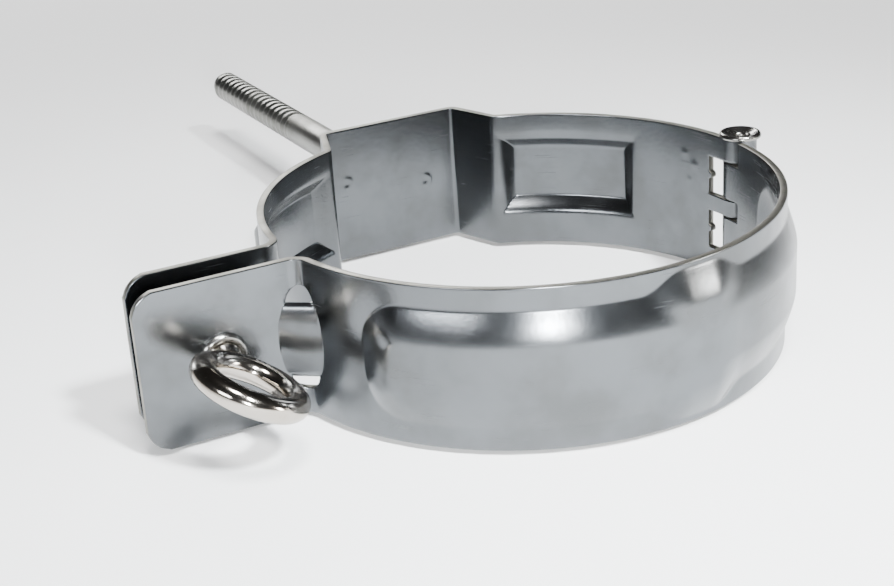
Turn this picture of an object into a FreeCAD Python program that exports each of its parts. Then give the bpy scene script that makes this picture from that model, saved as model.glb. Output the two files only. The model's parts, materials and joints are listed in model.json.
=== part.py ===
import FreeCAD, Part
import math
import os
import Sketcher

# Hinged pipe clamp: two pressed half bands, a rivet hinge, a wall stud on a flat seat and an eye
# bolt that draws the two ears together. The frame's origin is the pipe's axis at mid height of the
# band, +Z is the pipe's axis, +X points at the hinge, +Y points along the wall stud.

SIZES = [
    # The band and its seat
    ("pipe_radius", 50.8, "inside radius of the closed band, half of a 4 in pipe"),
    ("sheet", 1.5, "thickness of the pressed sheet"),
    ("band_height", 31.0, "height of the band along the pipe"),
    ("seat_stand", 8.2, "how far the flat seat stands outside the round band"),
    ("seat_width", 34.0, "width of the flat seat"),
    ("seat_foot_angle", 24.0, "angle from +Y at which the seat's side walls meet the round band"),
    ("crease_radius", 0.8, "inner bend radius of the seat's creases"),
    # The ears and their gussets
    ("ear_length", 31.2, "length of the front ear beyond the round band"),
    ("rear_ear_short", 1.5, "how much shorter the rear ear is"),
    ("ear_gap", 7.4, "clear gap between the ears"),
    ("ear_rise", 0.3, "inner face of the rear ear above the XZ plane"),
    ("ear_corner", 5.0, "corner radius of an ear"),
    ("bend_radius", 2.5, "inner bend radius where an ear leaves the band"),
    ("gusset_leg", 7.2, "length of a gusset strap's foot on the ear"),
    ("gusset_height", 14.0, "height of a gusset strap"),
    ("gusset_slit", 3.5, "height of the opening above and below a gusset strap"),
    # The raised belt round the front half and the raised pads on the rear half
    ("belt_depth", 2.4, "how far the belt is pressed out"),
    ("belt_height", 22.0, "height of the belt at its foot"),
    ("belt_shoulder", 3.0, "height of one sloped shoulder of the belt"),
    ("belt_start", 211.0, "angle where the belt starts, next to the ear"),
    ("belt_end", 345.0, "angle where the belt ends, next to the hinge"),
    ("lobe_height", 27.6, "height of the belt at its widened lobe"),
    ("lobe_angle", 277.0, "angle of the lobe's middle"),
    ("lobe_sweep", 19.0, "angle that the lobe spans"),
    ("pad_depth", 2.4, "how far a pad is pressed out"),
    ("pad_height", 18.4, "height of a pad at its foot"),
    ("pad_shoulder", 3.0, "height of one sloped shoulder of a pad"),
    ("pad_rise", 1.3, "height of a pad's middle above the band's middle"),
    ("pad_near", 25.0, "angle from +Y where a pad starts, next to the seat"),
    ("pad_sweep", 35.0, "angle that a pad spans"),
    # The hinge
    ("pin_radius", 2.0, "outside radius of the hinge rivet"),
    ("pin_clearance", 0.05, "radial running clearance of the rivet in its knuckles"),
    ("pin_bore", 1.2, "radius of the bore through the tubular rivet"),
    ("head_radius", 4.5, "radius of a rivet head"),
    ("head_height", 1.1, "height of a rivet head"),
    ("head_dish", 0.7, "depth of the dish in the upper head"),
    ("middle_knuckle", 3.8, "height of the rear half's middle knuckle"),
    ("window_height", 8.5, "height of a window that a front knuckle sits in"),
    ("window_gap", 2.3, "clear gap between a front knuckle and the window's far edge"),
    ("knuckle_play", 0.25, "axial play at each end of a front knuckle"),
    ("notch_gap", 0.5, "clear gap between a rear knuckle and the notch in the front half"),
    # The wall stud and the plate that it screws into
    ("stud_radius", 4.0, "outside radius of the wall stud"),
    ("stud_length", 110.0, "length of the stud from the seat to its tip"),
    ("stud_chamfer", 0.8, "chamfer at the stud's tip"),
    ("stud_neck", 0.3, "how much slimmer the stud's radius is inside the boss"),
    ("plate_width", 28.0, "width of the nut plate welded to the seat"),
    ("plate_height", 16.0, "height of the nut plate"),
    ("plate_thickness", 2.0, "thickness of the nut plate"),
    ("plate_corner", 3.0, "corner radius of the nut plate"),
    ("boss_radius", 7.0, "radius of the nut plate's threaded boss"),
    ("boss_length", 8.0, "length of the boss from the plate's face"),
    ("stud_fit", 0.05, "radial clearance of the stud in the boss"),
    # The eye bolt and what holds it
    ("bolt_from_tip", 15.9, "distance from an ear's tip to the eye bolt's axis"),
    ("bolt_radius", 3.0, "radius of the eye bolt's plain neck"),
    ("bolt_thread_radius", 2.95, "outside radius of the eye bolt's thread"),
    ("bolt_fit", 0.05, "radial running clearance of the neck in the collar"),
    ("bolt_tip_gap", 0.75, "gap between the eye bolt's tip and the rear ear"),
    ("bolt_chamfer", 0.6, "chamfer at the eye bolt's tip"),
    ("ring_radius", 8.9, "radius of the eye ring to the middle of its wire"),
    ("ring_wire", 2.5, "radius of the eye ring's wire"),
    ("ring_roll", 28.0, "roll of the eye ring about the eye bolt's axis"),
    ("ring_droop", 5.0, "angle at which the ring bends away from the eye bolt's axis"),
    ("ring_stand", 0.1, "gap between the ring and the collar's flange"),
    ("collar_radius", 4.6, "radius of the collar's flange"),
    ("collar_height", 1.0, "height of the collar's flange"),
    ("collar_wall", 0.85, "wall of the collar where it passes through the ear"),
    ("collar_lip", 0.5, "height and width of the collar's rolled lip inside the ear"),
    ("bolt_float", 2.5, "axial float of the eye bolt before its clip meets the collar's lip"),
    ("clip_radius", 5.0, "outside radius of the retaining clip"),
    ("clip_thickness", 0.8, "thickness of the retaining clip"),
    ("clip_sweep", 290.0, "angle that the open clip spans"),
    ("groove_depth", 0.6, "depth of the clip's groove in the neck"),
    ("groove_play", 0.05, "clearance of the clip in its groove"),
    ("nut_width", 10.0, "width of the weld nut across its flats"),
    ("nut_height", 5.0, "height of the weld nut behind the ear"),
    ("nut_pilot", 4.0, "radius of the weld nut's pilot in the ear's hole"),
    ("nut_bore", 3.25, "radius of the weld nut's hole, clear of the thread's crests"),
    # Reach of the cutting tools past what they cut
    ("overcut", 1.0, "how far a cutting tool reaches past the face it opens"),
]

DOC = FreeCAD.newDocument("PipeClamp")


def make_sheet():
    """The spreadsheet that holds every driving size under a readable alias."""
    table = DOC.addObject("Spreadsheet::Sheet", "Sizes")
    for row, (alias, value, note) in enumerate(SIZES, start=1):
        table.set("A%d" % row, alias)
        table.set("B%d" % row, str(value))
        table.set("C%d" % row, note)
        table.setAlias("B%d" % row, alias)
    DOC.recompute()
    return table


SHEET = make_sheet()


def size(alias):
    """The present value of one driving size."""
    return float(SHEET.get(alias))


# Places that several pieces share
OUTER = size("pipe_radius") + size("sheet")
HALF = size("band_height") / 2
HINGE_X = size("pipe_radius") + size("pin_radius") + size("pin_clearance") + size("sheet")
BARREL = size("pin_radius") + size("pin_clearance") + size("sheet")
SEAT_FACE = OUTER + size("seat_stand")
BOSS_TOP = SEAT_FACE + size("plate_thickness") + size("boss_length")
EAR_TIP = OUTER + size("ear_length")
REAR_EAR_TIP = EAR_TIP - size("rear_ear_short")
BOLT_X = -(EAR_TIP - size("bolt_from_tip"))
REAR_EAR_IN = size("ear_rise")
REAR_EAR_OUT = REAR_EAR_IN + size("sheet")
FRONT_EAR_IN = REAR_EAR_IN - size("ear_gap")
FRONT_EAR_OUT = FRONT_EAR_IN - size("sheet")
WINDOW_LOW = size("middle_knuckle") / 2
WINDOW_TOP = WINDOW_LOW + size("window_height")


def new_body(name):
    """A body whose label names the piece."""
    body = DOC.addObject("PartDesign::Body", name)
    body.Label = name
    return body


def origin_plane(body, role):
    """One of the body's own origin planes."""
    return [f for f in body.Origin.OriginFeatures if f.Role == role][0]


def new_sketch(body, name, role, shift=(0, 0, 0), turn=0.0):
    """A sketch on an origin plane, shifted in that plane's frame and turned about its upright."""
    sketch = body.newObject("Sketcher::SketchObject", name)
    sketch.AttachmentSupport = [(origin_plane(body, role), "")]
    sketch.MapMode = "FlatFace"
    spin = FreeCAD.Rotation(FreeCAD.Vector(0, 1, 0), turn)
    sketch.AttachmentOffset = FreeCAD.Placement(FreeCAD.Vector(*shift), spin)
    return sketch


def add_polygon(sketch, points):
    """Closes straight sides through the points."""
    for start, end in zip(points, points[1:] + points[:1]):
        line = Part.LineSegment(FreeCAD.Vector(*start, 0), FreeCAD.Vector(*end, 0))
        sketch.addGeometry(line, False)


def add_arc(sketch, radius, start, end):
    """An arc about the origin through its middle, from one point to another on that radius."""
    a0 = math.atan2(start[1], start[0])
    a1 = math.atan2(end[1], end[0])
    turn = (a1 - a0 + math.pi) % (2 * math.pi) - math.pi
    mid = a0 + turn / 2
    middle = FreeCAD.Vector(radius * math.cos(mid), radius * math.sin(mid), 0)
    sketch.addGeometry(Part.Arc(FreeCAD.Vector(*start, 0), middle, FreeCAD.Vector(*end, 0)), False)


def add_path(sketch, start, steps):
    """Lines, and arcs about the origin where a step gives a radius, from point to point."""
    here = start
    for radius, point in steps:
        if radius:
            add_arc(sketch, radius, here, point)
        else:
            sketch.addGeometry(Part.LineSegment(FreeCAD.Vector(*here, 0), FreeCAD.Vector(*point, 0)), False)
        here = point


def pad(body, name, sketch, length, symmetric=True):
    """A pad whose length is bound to the sheet."""
    feature = body.newObject("PartDesign::Pad", name)
    feature.Profile = sketch
    feature.SideType = "Symmetric" if symmetric else "One side"
    feature.setExpression("Length", length)
    DOC.recompute()
    return feature


def revolve(body, name, sketch, angle, cut=False):
    """A revolution or groove about the sketch's upright, its angle bound to the sheet."""
    feature = body.newObject("PartDesign::Groove" if cut else "PartDesign::Revolution", name)
    feature.Profile = sketch
    feature.ReferenceAxis = (sketch, ["V_Axis"])
    feature.setExpression("Angle", angle)
    before = body.Shape.Volume if cut else 0.0
    DOC.recompute()
    if cut and feature.Shape.Volume > before - 1e-3:
        raise ValueError(name + " cuts nothing")
    return feature


def round_disc(body, name, radius, length, low, centre=(0.0, 0.0), cut=False):
    """An upright cylinder at a plan position: its radius and length are bound to the sheet."""
    kind = "PartDesign::SubtractiveCylinder" if cut else "PartDesign::AdditiveCylinder"
    feature = body.newObject(kind, name)
    feature.setExpression("Radius", radius)
    feature.setExpression("Height", length)
    feature.Placement = FreeCAD.Placement(FreeCAD.Vector(centre[0], centre[1], low), FreeCAD.Rotation())
    DOC.recompute()
    return feature


def bore_along_y(body, name, radius, x, y_low, y_high):
    """A round hole along Y with its radius bound to the sheet."""
    feature = body.newObject("PartDesign::SubtractiveCylinder", name)
    feature.setExpression("Radius", radius)
    feature.Height = y_high - y_low
    turned = FreeCAD.Rotation(FreeCAD.Vector(1, 0, 0), -90)
    feature.Placement = FreeCAD.Placement(FreeCAD.Vector(x, y_low, 0), turned)
    DOC.recompute()
    return feature


def cut_box(body, name, low, high):
    """Takes a box out of the body, from its low corner to its high corner."""
    feature = body.newObject("PartDesign::SubtractiveBox", name)
    feature.Length = high[0] - low[0]
    feature.Width = high[1] - low[1]
    feature.Height = high[2] - low[2]
    feature.Placement = FreeCAD.Placement(FreeCAD.Vector(*low), FreeCAD.Rotation())
    before = body.Shape.Volume
    DOC.recompute()
    if feature.Shape.Volume > before - 1e-3:
        raise ValueError(name + " cuts nothing")
    return feature


def edge_names(shape, keep):
    """Names of the straight edges that pass a test."""
    return ["Edge%d" % (number + 1) for number, edge in enumerate(shape.Edges)
            if isinstance(edge.Curve, Part.Line) and keep(edge)]


def fillet_edges(body, name, radius, keep):
    """A fillet on the straight edges that pass a test, its radius bound to the sheet."""
    base = body.Tip
    names = edge_names(base.Shape, keep)
    if not names:
        raise ValueError(name + " finds no edge")
    feature = body.newObject("PartDesign::Fillet", name)
    feature.Base = (base, names)
    feature.setExpression("Radius", radius)
    DOC.recompute()
    return feature


def upright_at(points):
    """A test for an upright edge that stands over one of the given plan positions."""
    def keep(edge):
        low, high = edge.Vertexes[0].Point, edge.Vertexes[-1].Point
        upright = math.hypot(high.x - low.x, high.y - low.y) < 1e-3
        return upright and any(math.hypot(low.x - p[0], low.y - p[1]) < 1e-3 for p in points)
    return keep


def crossing_at(points):
    """A test for an edge along Y that passes one of the given positions in X and Z."""
    def keep(edge):
        low, high = edge.Vertexes[0].Point, edge.Vertexes[-1].Point
        across = math.hypot(high.x - low.x, high.z - low.z) < 1e-3
        return across and any(math.hypot(low.x - p[0], low.z - p[1]) < 1e-3 for p in points)
    return keep


def on_circle(radius, angle):
    """A plan position at a radius and an angle in degrees."""
    turn = math.radians(angle)
    return (radius * math.cos(turn), radius * math.sin(turn))


def line_to_circle(point, along, radius):
    """Where a line through a point, in a direction, first meets a circle about the origin."""
    a = along[0] ** 2 + along[1] ** 2
    b = point[0] * along[0] + point[1] * along[1]
    c = point[0] ** 2 + point[1] ** 2 - radius ** 2
    reach = (-b - math.sqrt(b * b - a * c)) / a
    return (point[0] + reach * along[0], point[1] + reach * along[1])


def mirrored(point):
    """The same plan position on the other side of the stud's plane."""
    return (-point[0], point[1])


def ear_root(radius, y):
    """Where an ear's face leaves a circle of the band."""
    return (-math.sqrt(radius ** 2 - y ** 2), y)


def seat_corners():
    """Outer and inner corner and foot of the seat's side wall on the hinge side."""
    corner = (size("seat_width") / 2, SEAT_FACE)
    foot = on_circle(OUTER, 90 - size("seat_foot_angle"))
    along = (foot[0] - corner[0], foot[1] - corner[1])
    length = math.hypot(*along)
    inward = (along[1] / length * size("sheet"), -along[0] / length * size("sheet"))
    anchor = (corner[0] + inward[0], corner[1] + inward[1])
    inner_y = SEAT_FACE - size("sheet")
    slide = (inner_y - anchor[1]) / along[1]
    inner_corner = (anchor[0] + slide * along[0], inner_y)
    inner_foot = line_to_circle(inner_corner, along, size("pipe_radius"))
    return corner, foot, inner_corner, inner_foot


def pressing_profile(height, shoulder, depth, rise, sink):
    """A sloped shoulder section in radius and height: sink moves the whole section inwards."""
    low = rise - height / 2
    high = rise + height / 2
    root = size("pipe_radius") + size("sheet") / 3 - sink
    foot = OUTER - sink
    crest = OUTER + depth - sink
    return [(root, low), (foot, low), (crest, low + shoulder), (crest, high - shoulder), (foot, high), (root, high)]


def press_out(body, stretches):
    """Presses stretches of the sheet outwards: every raised block first, then the hollows behind.

    A stretch is its name, its section (height, shoulder, depth, rise), its start angle and its sweep."""
    wall = math.degrees(size("sheet") / OUTER)
    for name, section, start, sweep in stretches:
        outer = new_sketch(body, name + "_section", "XZ_Plane", turn=start)
        add_polygon(outer, pressing_profile(*section, 0.0))
        revolve(body, name, outer, sweep)
    for name, section, start, sweep in stretches:
        inner = new_sketch(body, name + "_hollow_section", "XZ_Plane", turn=start + wall)
        add_polygon(inner, pressing_profile(*section, size("sheet")))
        revolve(body, name + "_hollow", inner, "%s - %r" % (sweep, 2 * wall), cut=True)


def add_gusset(body, side, ear_out, ear_in):
    """Opens the sheet across the ear's bend and bridges it with a straight strap.

    side is +1 for the rear half and -1 for the front half."""
    leg = size("gusset_leg")
    half = size("gusset_height") / 2
    slit = half + size("gusset_slit")
    middle = (ear_out + ear_in) / 2
    band_y = ear_out + side * leg
    box_x = (-(OUTER + leg - size("sheet")), -(OUTER - size("ear_gap")))
    box_y = sorted((ear_in - side * size("overcut"), band_y - side * size("sheet")))
    cut_box(body, "gusset_opening", (box_x[0], box_y[0], -slit), (box_x[1], box_y[1], slit))
    ear_end = (-(OUTER + leg + size("sheet")), middle)
    radius = (OUTER + size("pipe_radius")) / 2
    band_end = ear_root(radius, band_y + side * size("sheet"))
    along = (band_end[0] - ear_end[0], band_end[1] - ear_end[1])
    length = math.hypot(*along)
    across = (side * along[1] / length * size("sheet"), -side * along[0] / length * size("sheet"))
    outline = [ear_end, band_end, (band_end[0] + across[0], band_end[1] + across[1]),
               (ear_end[0] + across[0], ear_end[1] + across[1])]
    sketch = new_sketch(body, "gusset_plan", "XY_Plane")
    add_polygon(sketch, outline)
    pad(body, "gusset_strap", sketch, "Sizes.gusset_height")


def add_knuckles(body, spans):
    """Rolled barrels round the hinge axis, one for each span of height, then the bore."""
    for number, (low, high) in enumerate(spans, start=1):
        sketch = new_sketch(body, "knuckle_%d_plan" % number, "XY_Plane", (HINGE_X, 0, low))
        sketch.addGeometry(Part.Circle(FreeCAD.Vector(), FreeCAD.Vector(0, 0, 1), BARREL), False)
        sketch.addConstraint(Sketcher.Constraint("Coincident", 0, 3, -1, 1))
        sketch.addConstraint(Sketcher.Constraint("Radius", 0, BARREL))
        sketch.setExpression("Constraints[1]", "Sizes.pin_radius + Sizes.pin_clearance + Sizes.sheet")
        pad(body, "knuckle_%d" % number, sketch, "%r mm" % (high - low), symmetric=False)
    round_disc(body, "hinge_bore", "Sizes.pin_radius + Sizes.pin_clearance", "Sizes.band_height",
               -HALF, (HINGE_X, 0.0), cut=True)


def window_spans():
    """The two stretches of height that the front knuckles sit in."""
    return [(WINDOW_LOW, WINDOW_TOP), (-WINDOW_TOP, -WINDOW_LOW)]


def rear_knuckle_spans():
    """The three stretches of height that the rear knuckles fill."""
    return [(WINDOW_TOP, HALF), (-WINDOW_LOW, WINDOW_LOW), (-HALF, -WINDOW_TOP)]


def make_rear_half():
    """The rear half band: seat, two pads, three knuckles, ear, gusset and the nut's hole."""
    body = new_body("rear_half")
    corner, foot, inner_corner, inner_foot = seat_corners()
    outer, inner = OUTER, size("pipe_radius")
    ear_outer = ear_root(outer, REAR_EAR_OUT)
    ear_inner = ear_root(inner, REAR_EAR_IN)
    plan = new_sketch(body, "rear_plan", "XY_Plane")
    add_path(plan, (outer, 0.0), [
        (outer, foot), (0, corner), (0, mirrored(corner)), (0, mirrored(foot)), (outer, ear_outer),
        (0, (-REAR_EAR_TIP, REAR_EAR_OUT)), (0, (-REAR_EAR_TIP, REAR_EAR_IN)), (0, ear_inner),
        (inner, mirrored(inner_foot)), (0, mirrored(inner_corner)), (0, inner_corner),
        (0, inner_foot), (inner, (inner, 0.0)), (0, (outer, 0.0))])
    pad(body, "rear_band", plan, "Sizes.band_height")
    fillet_edges(body, "crease_inside", "Sizes.crease_radius",
                 upright_at([inner_corner, mirrored(inner_corner), foot, mirrored(foot)]))
    fillet_edges(body, "crease_outside", "Sizes.crease_radius + Sizes.sheet",
                 upright_at([corner, mirrored(corner), inner_foot, mirrored(inner_foot)]))
    fillet_ear(body, ear_outer, ear_inner, -REAR_EAR_TIP)
    add_gusset(body, 1, REAR_EAR_OUT, REAR_EAR_IN)
    bore_along_y(body, "nut_hole", "Sizes.nut_pilot", BOLT_X, REAR_EAR_IN - size("overcut"),
                 REAR_EAR_OUT + size("overcut"))
    section = (size("pad_height"), size("pad_shoulder"), size("pad_depth"), size("pad_rise"))
    press_out(body, [
        ("hinge_side_pad", section, 90 - size("pad_near") - size("pad_sweep"), "Sizes.pad_sweep"),
        ("ear_side_pad", section, 90 + size("pad_near"), "Sizes.pad_sweep")])
    for number, (low, high) in enumerate(window_spans(), start=1):
        cut_box(body, "window_%d" % number, (0, -size("overcut"), low),
                (HINGE_X + BARREL, BARREL + size("window_gap"), high))
    add_knuckles(body, rear_knuckle_spans())
    return body


def fillet_ear(body, ear_outer, ear_inner, tip):
    """Bends where the ear leaves the band, and the ear's two rounded corners."""
    fillet_edges(body, "ear_bend_outside", "Sizes.bend_radius", upright_at([ear_outer]))
    fillet_edges(body, "ear_bend_inside", "Sizes.bend_radius + Sizes.sheet", upright_at([ear_inner]))
    fillet_edges(body, "ear_corners", "Sizes.ear_corner", crossing_at([(tip, HALF), (tip, -HALF)]))


def make_front_half():
    """The front half band: belt with its lobe, two knuckles, ear, gusset and the bolt's hole."""
    body = new_body("front_half")
    outer, inner = OUTER, size("pipe_radius")
    ear_outer = ear_root(outer, FRONT_EAR_OUT)
    ear_inner = ear_root(inner, FRONT_EAR_IN)
    bottom_outer, bottom_inner = (0.0, -outer), (0.0, -inner)
    plan = new_sketch(body, "front_plan", "XY_Plane")
    add_path(plan, (outer, 0.0), [
        (outer, bottom_outer), (outer, ear_outer), (0, (-EAR_TIP, FRONT_EAR_OUT)),
        (0, (-EAR_TIP, FRONT_EAR_IN)), (0, ear_inner), (inner, bottom_inner), (inner, (inner, 0.0)),
        (0, (outer, 0.0))])
    pad(body, "front_band", plan, "Sizes.band_height")
    fillet_ear(body, ear_outer, ear_inner, -EAR_TIP)
    add_gusset(body, -1, FRONT_EAR_OUT, FRONT_EAR_IN)
    bore_along_y(body, "collar_hole", "Sizes.bolt_radius + Sizes.bolt_fit + Sizes.collar_wall", BOLT_X,
                 FRONT_EAR_OUT - size("overcut"), FRONT_EAR_IN + size("overcut"))
    depth = size("belt_depth")
    belt = (size("belt_height"), size("belt_shoulder"), depth, 0.0)
    lobe = (size("lobe_height"), size("belt_shoulder"), depth, 0.0)
    press_out(body, [
        ("belt", belt, size("belt_start"), "Sizes.belt_end - Sizes.belt_start"),
        ("lobe", lobe, size("lobe_angle") - size("lobe_sweep") / 2, "Sizes.lobe_sweep")])
    for number, (low, high) in enumerate(rear_knuckle_spans(), start=1):
        reach_low = low - size("knuckle_play")
        reach_high = high + size("knuckle_play")
        cut_box(body, "notch_%d" % number, (0, -BARREL - size("notch_gap"), reach_low),
                (HINGE_X + BARREL, size("overcut"), reach_high))
    play = size("knuckle_play")
    add_knuckles(body, [(low + play, high - play) for low, high in window_spans()])
    return body


def make_hinge_pin():
    """The tubular rivet: a dished head above, a rolled head below and a bore right through."""
    body = new_body("hinge_pin")
    bore, shaft, head = size("pin_bore"), size("pin_radius"), size("head_radius")
    top = HALF + size("head_height")
    rim = head - size("head_dish")
    floor = HALF + size("head_height") - size("head_dish")
    chamfer = size("head_dish") / 2
    section = new_sketch(body, "rivet_section", "XZ_Plane", (HINGE_X, 0, 0))
    add_polygon(section, [
        (bore, -top), (head - chamfer, -top), (head, -top + chamfer), (head, -HALF), (shaft, -HALF),
        (shaft, HALF), (head, HALF), (head, top - chamfer), (head - chamfer, top), (rim, top),
        (bore + size("head_dish"), floor), (bore, floor)])
    revolve(body, "rivet", section, "360")
    return body


def make_stud():
    """The wall stud: a slim neck inside the boss, then the shank to its chamfered tip."""
    body = new_body("stud")
    radius, chamfer = size("stud_radius"), size("stud_chamfer")
    tip = SEAT_FACE + size("stud_length")
    neck = radius - size("stud_neck")
    section = new_sketch(body, "stud_section", "XY_Plane")
    add_polygon(section, [(0, SEAT_FACE), (neck, SEAT_FACE), (neck, BOSS_TOP), (radius, BOSS_TOP),
                          (radius, tip - chamfer), (radius - chamfer, tip), (0, tip)])
    revolve(body, "stud_turning", section, "360")
    return body


def make_nut_plate():
    """The plate welded on the seat, with the threaded boss that the stud screws into."""
    body = new_body("nut_plate")
    sketch = new_sketch(body, "plate_outline", "XZ_Plane", (0, 0, -SEAT_FACE))
    width, height = size("plate_width") / 2, size("plate_height") / 2
    add_polygon(sketch, [(-width, -height), (width, -height), (width, height), (-width, height)])
    plate = pad(body, "plate", sketch, "Sizes.plate_thickness", symmetric=False)
    plate.Reversed = True
    DOC.recompute()
    corners = [(x, z) for x in (-width, width) for z in (-height, height)]
    fillet_edges(body, "plate_corners", "Sizes.plate_corner", crossing_at(corners))
    boss = new_sketch(body, "boss_section", "XY_Plane")
    edge = size("stud_fit") + size("stud_chamfer")
    radius = size("boss_radius")
    add_polygon(boss, [(0, SEAT_FACE), (radius, SEAT_FACE), (radius, BOSS_TOP - edge),
                       (radius - edge, BOSS_TOP), (0, BOSS_TOP)])
    revolve(body, "boss", boss, "360")
    bore_along_y(body, "stud_bore", "Sizes.stud_radius + Sizes.stud_fit", 0.0,
                 SEAT_FACE - size("overcut"), BOSS_TOP + size("overcut"))
    return body


def clip_low():
    """Where the retaining clip's face towards the front ear stands along Y."""
    return FRONT_EAR_IN + size("collar_lip") + size("bolt_float")


def ring_neck_y():
    """Where the eye ring's nearest point stands along Y, just outside the collar's flange."""
    return FRONT_EAR_OUT - size("collar_height") - size("ring_stand")


def make_eye_bolt():
    """The eye bolt: ring, plain neck, clip groove and threaded tip in one forging."""
    body = new_body("eye_bolt")
    neck, thread = size("bolt_radius"), size("bolt_thread_radius")
    groove_low = clip_low() - size("groove_play")
    groove_high = clip_low() + size("clip_thickness") + size("groove_play")
    tip = REAR_EAR_IN - size("bolt_tip_gap")
    chamfer = size("bolt_chamfer")
    start = ring_neck_y() - size("ring_wire")
    section = new_sketch(body, "shank_section", "XY_Plane", (BOLT_X, 0, 0))
    root = neck - size("groove_depth")
    add_polygon(section, [
        (0, start), (neck, start), (neck, groove_low), (root, groove_low), (root, groove_high),
        (thread, groove_high), (thread, tip - chamfer), (thread - chamfer, tip), (0, tip)])
    revolve(body, "shank", section, "360")
    ring = body.newObject("PartDesign::AdditiveTorus", "ring")
    ring.setExpression("Radius1", "Sizes.ring_radius")
    ring.setExpression("Radius2", "Sizes.ring_wire")
    roll = FreeCAD.Rotation(FreeCAD.Vector(0, 1, 0), size("ring_roll"))
    droop = FreeCAD.Rotation(FreeCAD.Vector(1, 0, 0), size("ring_droop"))
    reach = size("ring_radius") + size("ring_wire")
    neck = FreeCAD.Placement(FreeCAD.Vector(BOLT_X, ring_neck_y(), 0), droop)
    ring.Placement = neck * FreeCAD.Placement(FreeCAD.Vector(0, -reach, 0), roll)
    DOC.recompute()
    return body


def make_eye_collar():
    """The collar riveted into the front ear, which the eye bolt's neck turns in."""
    body = new_body("eye_collar")
    bore = size("bolt_radius") + size("bolt_fit")
    barrel = bore + size("collar_wall")
    flange, lip = size("collar_radius"), size("collar_lip")
    outside = FRONT_EAR_OUT - size("collar_height")
    section = new_sketch(body, "collar_section", "XY_Plane", (BOLT_X, 0, 0))
    add_polygon(section, [
        (bore, outside), (flange - lip, outside), (flange, outside + lip), (flange, FRONT_EAR_OUT),
        (barrel, FRONT_EAR_OUT), (barrel, FRONT_EAR_IN), (barrel + lip, FRONT_EAR_IN),
        (barrel + lip / 2, FRONT_EAR_IN + lip), (bore, FRONT_EAR_IN + lip)])
    revolve(body, "collar", section, "360")
    return body


def make_retaining_clip():
    """The open clip in the eye bolt's groove, which keeps the bolt on the front ear."""
    body = new_body("retaining_clip")
    inner = size("bolt_radius") - size("groove_depth") + size("groove_play")
    outer = size("clip_radius")
    low = clip_low()
    high = low + size("clip_thickness")
    section = new_sketch(body, "clip_section", "XY_Plane", (BOLT_X, 0, 0), turn=size("clip_sweep") / 2)
    add_polygon(section, [(inner, low), (outer, low), (outer, high), (inner, high)])
    revolve(body, "clip", section, "Sizes.clip_sweep")
    return body


def make_weld_nut():
    """The hexagonal weld nut behind the rear ear, piloted in the ear's hole."""
    body = new_body("weld_nut")
    corner = size("nut_width") / 2 / math.cos(math.radians(30))
    sketch = new_sketch(body, "nut_outline", "XZ_Plane", (BOLT_X, 0, -REAR_EAR_OUT))
    add_polygon(sketch, [on_circle(corner, 60 * side) for side in range(6)])
    hexagon = pad(body, "hexagon", sketch, "Sizes.nut_height", symmetric=False)
    hexagon.Reversed = True
    DOC.recompute()
    pilot = new_sketch(body, "pilot_section", "XY_Plane", (BOLT_X, 0, 0))
    middle = REAR_EAR_OUT + size("nut_height") / 2
    radius = size("nut_pilot")
    add_polygon(pilot, [(0, REAR_EAR_IN), (radius, REAR_EAR_IN), (radius, middle), (0, middle)])
    revolve(body, "pilot", pilot, "360")
    bore_along_y(body, "nut_thread", "Sizes.nut_bore", BOLT_X, REAR_EAR_IN - size("overcut"),
                 REAR_EAR_OUT + size("nut_height") + size("overcut"))
    return body


def write_pieces(bodies):
    """Checks every object and every piece, then writes one STEP file for each piece."""
    DOC.recompute()
    for thing in DOC.Objects:
        if "Invalid" in thing.State or "Error" in thing.State:
            raise ValueError("%s failed: %s" % (thing.Name, thing.State))
    for body in bodies:
        shape = body.Shape
        if shape.isNull() or not shape.isValid() or len(shape.Solids) != 1:
            raise ValueError("%s is not one valid solid" % body.Label)
    os.makedirs("parts", exist_ok=True)
    for body in bodies:
        body.Shape.exportStep("parts/%s.step" % body.Label)
        print("%-16s %9.1f mm3" % (body.Label, body.Shape.Volume))


write_pieces([
    make_rear_half(), make_front_half(), make_hinge_pin(), make_stud(), make_nut_plate(),
    make_eye_bolt(), make_eye_collar(), make_retaining_clip(), make_weld_nut()])
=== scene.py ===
import json
import logging
import math
from dataclasses import dataclass
from enum import Enum
from typing import Callable, Dict, Optional, Sequence, Tuple

import bmesh
import bpy
import numpy as np
from mathutils import Matrix, Vector


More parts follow.
